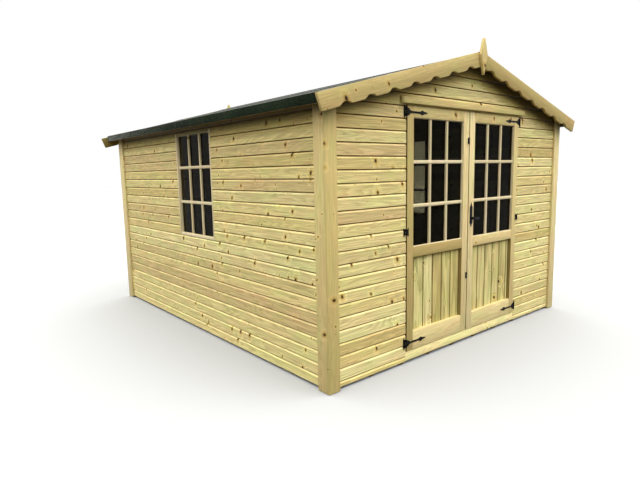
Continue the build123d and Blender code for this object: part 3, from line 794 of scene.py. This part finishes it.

# %% [markdown]
# Trim, bargeboards and joinery
#
# These pieces already have their true shape in the frame, down to the scallops. What a solid lacks
# is the eased edge that planed timber has and that catches the light, so each is copied, merged and
# bevelled by a millimetre or two, and every stick gets its own number.

# %% Trim on the house
# The numbers choose each stick's tone and its piece of tree. Above 1, all of the stick has painted shade,
# as the top rails of the windows have.
TRIM_PIECES = [
    ("end_corner_boards", "trim_z", (0.27, 0.6, 0.9, 0.81)),
    ("side_corner_boards", "side_z", (0.53, 0.95, 0.3, 0.7)),
    ("bargeboards_left", "barge_left", (0.12, 0.3)),
    ("bargeboards_right", "barge_right", (0.01, 0.4)),
    ("finials", "trim_z", (0.3, 0.15)),
    ("door_sill", "sill", (0.73,)),
    ("door_head_board", "trim_x", (0.4,)),
    ("window_jambs", "side_bar_z", ()),
    ("window_rails", "side_bar_y", (0.5, 1.5, 0.4, 1.6)),
]
for node, finish, numbers in TRIM_PIECES:
    piece = number_boards(dressed(node, "planed"), numbers)
    # Painted shade on the bargeboards' inner faces, which turn in towards the gables
    if node.startswith("bargeboards"):
        paint_shade_on_faces(piece, lambda normal, at: normal.y * at.y < -0.5)
    hand_over(piece, "house", "pine_trim", wood[finish], node)
print(len(TRIM_PIECES), "trims eased")

# %% Stiles and rails of the leaves
STILE_TONES = {"left": (0.09, 0.85), "right": (0.97, 0.6)}
RAIL_TONES = {"left": (0.8, 0.0, 0.5), "right": (0.85, 0.7, 0.5)}
JOINERY_ARRIS = 0.002

# How far from the middle a stile's edge lies deep between the two leaves, or in the frame
MEETING = 0.008
HANGING = 0.75
for side in STILE_TONES:
    body = f"door_{side}"
    low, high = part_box(f"{body}_glass")
    piece = number_boards(dressed(f"{body}_stiles", "planed", JOINERY_ARRIS), STILE_TONES[side])
    # Painted shade on the stiles' edges beside the glass, and deeper painted shade on their edges between
    # the leaves and at the hinges
    paint_shade_on_faces(piece, lambda normal, at: abs(normal.x) > 0.9
                  and min(abs(at.x - edge) for edge in (low.x, high.x)) < NEAR)
    paint_shade_on_faces(piece, lambda normal, at: abs(normal.x) > 0.6
                  and not MEETING < abs(at.x) < HANGING, 2)
    hand_over(piece, body, "pine_trim", wood["joinery_z"], f"{body}_stiles")
    piece = number_boards(dressed(f"{body}_rails", "planed", JOINERY_ARRIS), RAIL_TONES[side])
    hand_over(piece, body, "pine_trim", wood["trim_x"], f"{body}_rails")
print("Both leaves have eased stiles and rails")

# %% [markdown]
# Panel boards
#
# The lower half of each leaf is matched boarding: upright boards with a small chamfer on both front
# edges, which makes a V where two meet. A board is a cube with two bevelled edges. The last one of
# a leaf is ripped to what is left.

# %% Panels
PANEL_COVER = 0.1145
CHAMFER = 0.006
PANEL_GAP = 0.0018
for side, sign in SIDES:
    node = f"door_{side}_panel"
    low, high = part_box(node)
    middle = (low.z + high.z) / 2
    start = low.x if sign > 0 else high.x
    boards = []
    for number in range(math.ceil((high.x - low.x) / PANEL_COVER)):
        ends = sorted((start, start + sign * PANEL_COVER))
        ends = max(ends[0], low.x), min(ends[1], high.x) - PANEL_GAP
        board = block("panel_board", (ends[0], low.y, low.z), (ends[1], high.y, high.z))
        with editing(board):
            bevel_at(lambda at: at.y < low.y + NEAR and abs(at.z - middle) < NEAR, CHAMFER)
        stamp(board, chance.random())
        # Painted shade on the sides and chamfers of each board, in the V joints
        paint_shade_on_faces(board, lambda normal, at: abs(normal.x) > 0.1)
        boards.append(board)
        start += sign * PANEL_COVER
    panel = join(f"{side}_panel_boards", boards)
    hand_over(panel, f"door_{side}", "pine_boards", wood["panel"], node)
print(len(boards), "boards in each panel")

# %% [markdown]
# Glazing bars
#
# Each leaf and each window has nine panes. The bars are sticks with two rounded front edges, set
# back from the face of the leaf. One stick is shaped and copied for the rest. A thin bead with the
# same round runs along the four sides of the opening and holds the glass.

# %% Bars
BAR = 0.023
LEVEL_BAR = 0.026
BAR_ROUND = 0.0065
BAR_DEPTH = 0.015
BEAD = 0.0045
BEAD_ROUND = BEAD * 0.9
BEAD_PROUD = 0.002
UPRIGHT_BACK = 0.0004
LEAF_BARS = (1.1715, 1.4855)
WINDOW_BARS = (1.179, 1.4905)
stick = block("stick", (0, 0, -BAR / 2), (1, BAR_DEPTH, BAR / 2))
with editing(stick):
    bevel_at(lambda at: at.y < NEAR and abs(at.x - 0.5) < NEAR, BAR_ROUND, segments=4)
bead = block("bead", (0, 0, -BEAD / 2), (1, BAR_DEPTH, BEAD / 2))
with editing(bead):
    bevel_at(lambda at: at.y < NEAR and at.z > 0 and abs(at.x - 0.5) < NEAR, BEAD_ROUND, segments=3)


def strip(master, length, x, face, z, degrees):
    """A copy of a stick or bead, cut to length, turned against the clock and put in its place."""
    copy = twin(master, "strip")
    copy.scale.x = length
    copy.rotation_euler.y = -math.radians(degrees)
    copy.location = (x, face, z)
    settle(copy)
    return copy


def bars(name, low, high, heights, face, degrees):
    """Beads round an opening seen from outside and two bars each way, then turned into place."""
    (left, bottom), (right, top) = low, high
    wide, tall = right - left, top - bottom
    front = face - BEAD_PROUD
    strips = [
        strip(bead, wide, left, front, bottom + BEAD / 2, 0),
        strip(bead, tall, right - BEAD / 2, front, bottom, 90),
        strip(bead, wide, right, front, top - BEAD / 2, 180),
        strip(bead, tall, left + BEAD / 2, front, top, 270),
    ]
    for z in heights:
        strips.append(twin(stick, "strip", (left, face, z), (wide, 1, LEVEL_BAR / BAR)))
    for share in (1 / 3, 2 / 3):
        strips.append(strip(stick, tall, left + wide * share, face + UPRIGHT_BACK, bottom, 90))
    for piece in strips:
        stamp(piece, chance.random())
    return turned(strips, name, degrees)


for side, sign in SIDES:
    low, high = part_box(f"door_{side}_glass")
    grid = bars(f"{side}_leaf_bars", (low.x, low.z), (high.x, high.z), LEAF_BARS, low.y - BAR_DEPTH, 0)
    hand_over(grid, f"door_{side}", "pine_trim", wood["bar_z"])
for side, sign in SIDES:
    low, high = one_side("window_glass", sign)
    near, far = sorted((sign * low.y, sign * high.y))
    outside = min(-sign * low.x, -sign * high.x) - BAR_DEPTH
    grid = bars(f"{side}_window_bars", (near, low.z), (far, high.z), WINDOW_BARS, outside, 90 * sign)
    hand_over(grid, "house", "pine_trim", wood["side_bar_z"])
for node in ("door_left_glass", "door_right_glass", "window_glass"):
    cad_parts[node].data.materials.clear()
    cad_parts[node].data.materials.append(glass)
print("Bars for four openings")

# %% [markdown]
# Ironwork
#
# The hinges, the lock with its lever and the small catches are pressed and cast iron. They are
# copied from the frame with a slight round on every edge.

# %% Iron
IRON_PIECES = [
    ("hinge_plates", "house"),
    ("door_left_hinges", "door_left"),
    ("door_left_catches", "door_left"),
    ("door_right_hinges", "door_right"),
    ("door_right_lock", "door_right"),
    ("door_right_lever", "lever"),
]
for node, body in IRON_PIECES:
    piece = dressed(node, "black", arris=0.0008)
    hand_over(piece, body, "black_iron", iron, node)
print(len(IRON_PIECES), "pieces of ironwork")

# %% [markdown]
# Screws
#
# The straps are held by round-headed screws, two or three to a plate. One head is a short cylinder
# whose upper rim is bevelled into a dome. Copies are set on the ironwork, each on its own body.

# %% Screw heads
SCREW = 0.0045
SCREW_DEPTH = 0.004
DOME = 0.0018
STRAP = 0.004
PIN_FROM_LEAF = 0.009
LOWER_STRAP = 0.160
UPPER_STRAP_DOWN = 0.044
BUTTERFLY = 0.988

# How far the screws of each plate lie from the pin, and above and below its middle
STRAP_SCREWS = (0.037, 0.105, 0.180)
FLAP_SCREW = 0.0165
FLAP_RISE = (-0.03, 0.03)
WING_SCREW = 0.017
WING_RISE = (-0.017, 0.017)

bpy.ops.mesh.primitive_cylinder_add(vertices=12, radius=SCREW, depth=SCREW_DEPTH, location=(0, 0, 0))
screw = made("screw")
with editing(screw):
    bevel_at(lambda at: at.z > SCREW_DEPTH / 4, DOME, segments=2, kind="FACE")
TO_FRONT = Matrix.Rotation(math.radians(90), 4, "X")


def on_wall(x, y, z, degrees=0):
    """The place of a head on a wall that is seen from outside and then turned into place."""
    return Matrix.Rotation(math.radians(degrees), 4, "Z") @ Matrix.Translation((x, y, z)) @ TO_FRONT


def dotted(name, master, places):
    """Copies of one small piece, each moved and turned by a matrix, as one mesh."""
    copies = []
    for place in places:
        copy = twin(master, name)
        copy.data.transform(place)
        copies.append(copy)
    return join(name, copies)


stile_low, stile_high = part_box("door_right_stiles")
pin = stile_high.x + PIN_FROM_LEAF
straps = (LOWER_STRAP, stile_high.z - UPPER_STRAP_DOWN)
leaf_face = stile_low.y - STRAP
wall_face = face - STRAP
on_house = []
for side, sign in SIDES:
    spots = [(pin - reach, z) for z in straps for reach in STRAP_SCREWS]
    spots += [(pin - WING_SCREW, BUTTERFLY + rise) for rise in WING_RISE]
    screws = dotted(f"{side}_leaf_screws", screw, [on_wall(sign * x, leaf_face, z) for x, z in spots])
    hand_over(screws, f"door_{side}", "black_iron", iron)
    spots = [(pin + FLAP_SCREW, z + rise) for z in straps for rise in FLAP_RISE]
    spots += [(pin + WING_SCREW, BUTTERFLY + rise) for rise in WING_RISE]
    on_house += [on_wall(sign * x, wall_face, z) for x, z in spots]
hand_over(dotted("wall_screws", screw, on_house), "house", "black_iron", iron)
print(len(on_house), "screws in the wall plates")

# %% [markdown]
# Keyhole
#
# Below the lever the lock plate has a keyhole with a raised rim. A thin torus makes the rim.

# %% Keyhole
KEYHOLE_HEIGHT = 0.998
KEYHOLE = 0.007
RIM = 0.0016
lock_low, lock_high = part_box("door_right_lock")
middle = (lock_low.x + lock_high.x) / 2
bpy.ops.mesh.primitive_torus_add(
    major_segments=20, minor_segments=8, major_radius=KEYHOLE, minor_radius=RIM,
    location=(middle, lock_low.y, KEYHOLE_HEIGHT), rotation=(math.radians(90), 0, 0))
rim = made("keyhole_rim")
smooth(rim, 60)
hand_over(rim, "door_right", "black_iron", iron)
print("Keyhole at", [round(value, 3) for value in (middle, lock_low.y)])

# %% [markdown]
# Roof and floor boards
#
# The roof is boarded from the ridge to the eaves, and the floor from side to side. Both are narrow
# planed boards with a small V at each joint. One board is a cube with two bevelled edges, copied
# side by side in a frame that lies flat. The roof's boards are then tipped to the pitch.

# %% Planks
ROOF_COVER = 0.0902
ROOF_V = 0.003
ROOF_BOARD = 0.018
FLOOR_COVER = 0.1
FLOOR_V = 0.001
RIDGE_GAP = 0.003
EAVES_SHORT = 0.004
PITCH_ANGLE = math.atan(fall)
plank = block("plank", (0, 0, 0), (1, 1, 1))


def boarded(name, low, high, cover, bevel, under):
    """Boards along X side by side, filling a flat box, with a V on their upper or lower face."""
    across = high[1] - low[1]
    count = round(across / cover)
    cover = across / count
    first = twin(plank, name, low, (high[0] - low[0], cover, high[2] - low[2]))
    ends = (low[0] + high[0]) / 2
    middle = (low[2] + high[2]) / 2
    with editing(first):
        bevel_at(lambda at: (at.z < middle) == under and abs(at.z - middle) > NEAR
                 and abs(at.x - ends) < NEAR, bevel)
    boards = [twin(first, name, (0, cover * number, 0)) for number in range(count)]
    bpy.data.objects.remove(first)
    for board in boards:
        stamp(board, chance.random())
    return join(name, boards)


def tipped(piece, sign):
    """Tip a flat piece to the pitch about the ridge, on the left or the right slope."""
    slope = Matrix.Rotation(PITCH_ANGLE, 4, "Y")
    around = Matrix.Rotation(math.radians(0 if sign > 0 else 180), 4, "Z")
    piece.data.transform(Matrix.Translation((0, 0, deck_high.z)) @ around @ slope)
    return piece


deck_low, deck_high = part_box("roof_boards")
felt_low, felt_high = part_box("roof_felt")
slope_length = deck_high.x / math.cos(PITCH_ANGLE)
for side, sign in SIDES:
    low = (RIDGE_GAP, deck_low.y, -ROOF_BOARD)
    high = (slope_length - EAVES_SHORT, deck_high.y, 0)
    slope = tipped(boarded(f"{side}_roof_boards", low, high, ROOF_COVER, ROOF_V, True), sign)
    hand_over(slope, "house", "pine_framing", wood[f"roof_{side}"], "roof_boards")
low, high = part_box("floor_boards")
planks = boarded("planked_floor", low, high, FLOOR_COVER, FLOOR_V, False)
hand_over(planks, "house", "pine_framing", wood["floor_x"], "floor_boards")
print("Roof slopes of", round(slope_length, 3), "m boarded")

# %% [markdown]
# The roof covering
#
# Felt comes in rolls a metre wide. One width lies along the eaves and is turned down over the edge,
# a second laps over its upper edge, and a narrow strip is folded over the ridge. Felt never lies
# quite flat, so each width is divided and rippled a millimetre or two by a displace modifier that
# follows a soft cloud pattern.

# %% Felt on the slopes
ROLL = 1.0
LAP = 0.075
LAP_RISE = 0.02
FELT = 0.003
FELT_CUTS = 28
TURNED_DOWN = 0.106
AT_RIDGE = 0.002
RIPPLE = 0.004
ripple = bpy.data.textures.new("ripple", "CLOUDS")
ripple.noise_scale = 0.28


def width_of_felt(name, start, end, lapped):
    """One width of felt in a frame that lies flat, with its lower edge raised where it laps."""
    piece = block(name, (start, felt_low.y, 0), (end, felt_high.y, FELT))
    with editing(piece):
        bpy.ops.mesh.subdivide(number_cuts=FELT_CUTS)
        if lapped:
            for x in (end - LAP, end - LAP - LAP_RISE):
                bpy.ops.mesh.select_all(action="SELECT")
                bpy.ops.mesh.bisect(plane_co=(x, 0, 0), plane_no=(1, 0, 0))
            pick("VERT", lambda at: at.x > end - LAP - NEAR)
            bpy.ops.transform.translate(value=(0, 0, FELT))
    finished_with(piece, "DISPLACE", texture=ripple, direction="Z", strength=RIPPLE, mid_level=0.5)
    smooth(piece)
    return piece


lower_start = slope_length - (ROLL - TURNED_DOWN)
for side, sign in SIDES:
    lower = width_of_felt(f"{side}_lower_felt", lower_start, slope_length, False)
    upper = width_of_felt(f"{side}_upper_felt", AT_RIDGE, lower_start + LAP, True)
    for piece in (lower, upper):
        hand_over(tipped(piece, sign), "house", "green_felt", felt, "roof_felt")
for node in ("eaves_felt", "ridge_felt"):
    hand_over(dressed(node, "laid", arris=0.001), "house", "green_felt", felt, node)
print("Felt laps by", LAP * 1000, "mm")

# %% [markdown]
# Nails
#
# Felt is held by clout nails with broad flat heads, in rows along the laps, the ridge strip and the
# two ends of the roof. The cladding has one small galvanised nail a board at each stud. Each head is
# a thin cylinder, inset and raised a little in the middle.

# %% Nail heads
def nail_head(name, radius, depth):
    """A thin cylinder whose face is inset and raised a little."""
    bpy.ops.mesh.primitive_cylinder_add(vertices=8, radius=radius, depth=depth, location=(0, 0, 0))
    nail = made(name)
    with editing(nail):
        pick("FACE", lambda at: at.z > depth / 4)
        bpy.ops.mesh.inset(thickness=radius * 0.4)
        bpy.ops.transform.translate(value=(0, 0, depth * 0.3))
    return nail


def spaced(start, end, pitch):
    """Even places from start to end, no wider apart than the pitch."""
    count = math.ceil((end - start) / pitch)
    return [start + (end - start) * number / count for number in range(count + 1)]


clout = nail_head("clout", radius=0.004, depth=0.0016)
cladding_nail = nail_head("cladding_nail", radius=0.0024, depth=0.0014)
print("A clout is 8 mm across and a cladding nail 5 mm")

# %% Clouts on the felt
CLOUT_PITCH = 0.1
VERGE_PITCH = 0.12
FELT_EDGE = 0.02
RIDGE_ROW = 0.137
VERGE_ENDS = (0.2, 0.03)
across = spaced(felt_low.y + FELT_EDGE, felt_high.y - FELT_EDGE, CLOUT_PITCH)
down = spaced(VERGE_ENDS[0], slope_length - VERGE_ENDS[1], VERGE_PITCH)
spots = [(s, y, 2 * FELT) for s in (lower_start + LAP - FELT_EDGE, RIDGE_ROW) for y in across]
spots += [(s, y, FELT) for s in down for y in (across[0], across[-1])]
for side, sign in SIDES:
    clouts = dotted(f"{side}_clouts", clout, [Matrix.Translation(spot) for spot in spots])
    hand_over(tipped(clouts, sign), "house", "green_felt", zinc)
print(2 * len(spots), "clouts")

# %% Nails in the cladding
NAIL_RISE = 0.034
NAIL_HEADROOM = 0.02
UNDER_SLOPE = 0.06
UNDER_EAVES = 0.03
CORNER_NAIL = 0.041
FRONT_STUD = 1.126
BACK_STUD = 0.745
FRAME_NAIL = 0.016
SIDE_STUDS = (-1.085, 1.115)
SIDE_END = 0.08


def nail_rows(joint, high):
    """Heights of the nails, one above every joint of the boards."""
    heights = [bottom + NAIL_RISE for bottom in rows(joint, foot, high) if bottom > foot]
    return [z for z in heights if z < high - NAIL_HEADROOM]


inner = wall_half - CORNER_NAIL
front_x = [sign * x for sign in (-1, 1) for x in (door_half + FRAME_NAIL, FRONT_STUD, inner)]
back_x = [-inner, -BACK_STUD, 0, BACK_STUD, inner]
places = [on_wall(x, face, z) for x in front_x for z in nail_rows(END_JOINT, head)]
places += [on_wall(x, face, z, 180)
           for x in back_x for z in nail_rows(END_JOINT, apex - abs(x) * fall - UNDER_SLOPE)]
for side, sign in SIDES:
    low, high = one_side("window_jambs", sign)
    studs = [-side_half + SIDE_END, SIDE_STUDS[0], low.y - FRAME_NAIL,
             high.y + FRAME_NAIL, SIDE_STUDS[1], side_half - SIDE_END]
    places += [on_wall(sign * y, side_face, z, 90 * sign)
               for y in studs for z in nail_rows(SIDE_JOINT, side_top - UNDER_EAVES)]
hand_over(dotted("cladding_nails", cladding_nail, places), "house", "pine_cladding", zinc)
print(len(places), "nails in the cladding")

# %% [markdown]
# What shows through the openings
#
# Inside, the studs, rails, rafters, purlins and ridge beam are sawn and not planed, so they take the
# rougher finish. Their edges are barely eased. The battens along the roof's edge and the joists are
# given dark tones, a painted shade for where they lie under the eaves and the floor.

# %% Framing
FRAMING = [
    ("end_wall_rails", "sawn_x"),
    ("gable_rafters", "sawn_x"),
    ("side_wall_rails", "sawn_y"),
    ("roof_beams", "sawn_y"),
    ("end_wall_studs", "sawn_z"),
    ("side_wall_studs", "sawn_z"),
    ("eaves_boards", "roof_y"),
    ("verge_battens", "roof_left"),
    ("floor_joists", "roof_y"),
]
for node, finish in FRAMING:
    piece = number_boards(dressed(node, "sawn", arris=0.001))
    hand_over(piece, "house", "pine_framing", wood[finish], node)
print("Framing finished")

# %% Clear the bench
for master in (shiplap, stick, bead, screw, plank, clout, cladding_nail):
    bpy.data.objects.remove(master)
